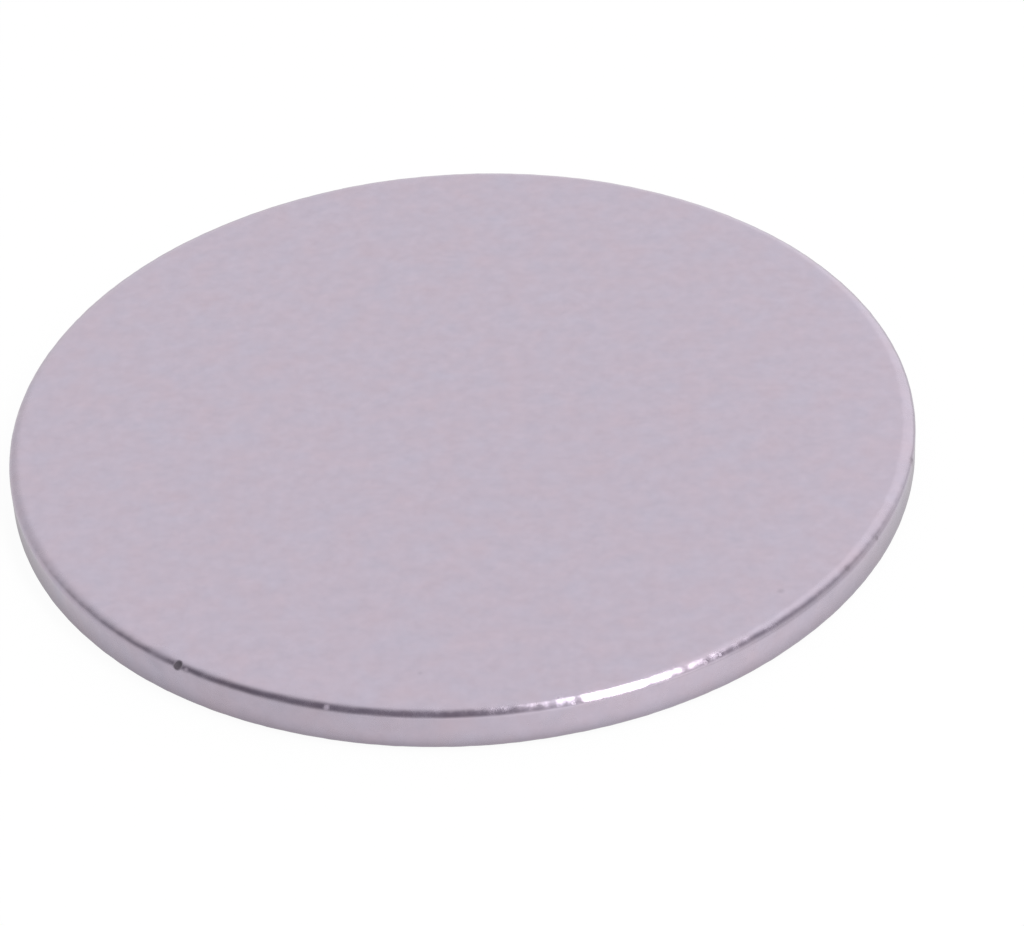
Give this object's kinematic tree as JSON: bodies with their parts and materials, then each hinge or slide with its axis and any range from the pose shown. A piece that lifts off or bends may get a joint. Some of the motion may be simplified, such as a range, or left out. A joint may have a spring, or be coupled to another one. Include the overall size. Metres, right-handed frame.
{
  "type": "disc magnet",
  "caption": "Thin round nickel-plated disc magnet with flat pole faces and rounded edges, for holding to steel or setting in a round pocket.",
  "frame": {"origin": "centre of the lower pole face, which the disc lies on", "axes": "+Z along the disc's axis, from the lower pole face to the upper one; the picture looks along +Y, with +X to its right"},
  "size_m": [0.02, 0.02, 0.001],
  "materials": {
    "nickel_plating": "satin"
  },
  "bodies": {
    "root": {"disc_magnet": "nickel_plating"}
  },
  "joints": []
}
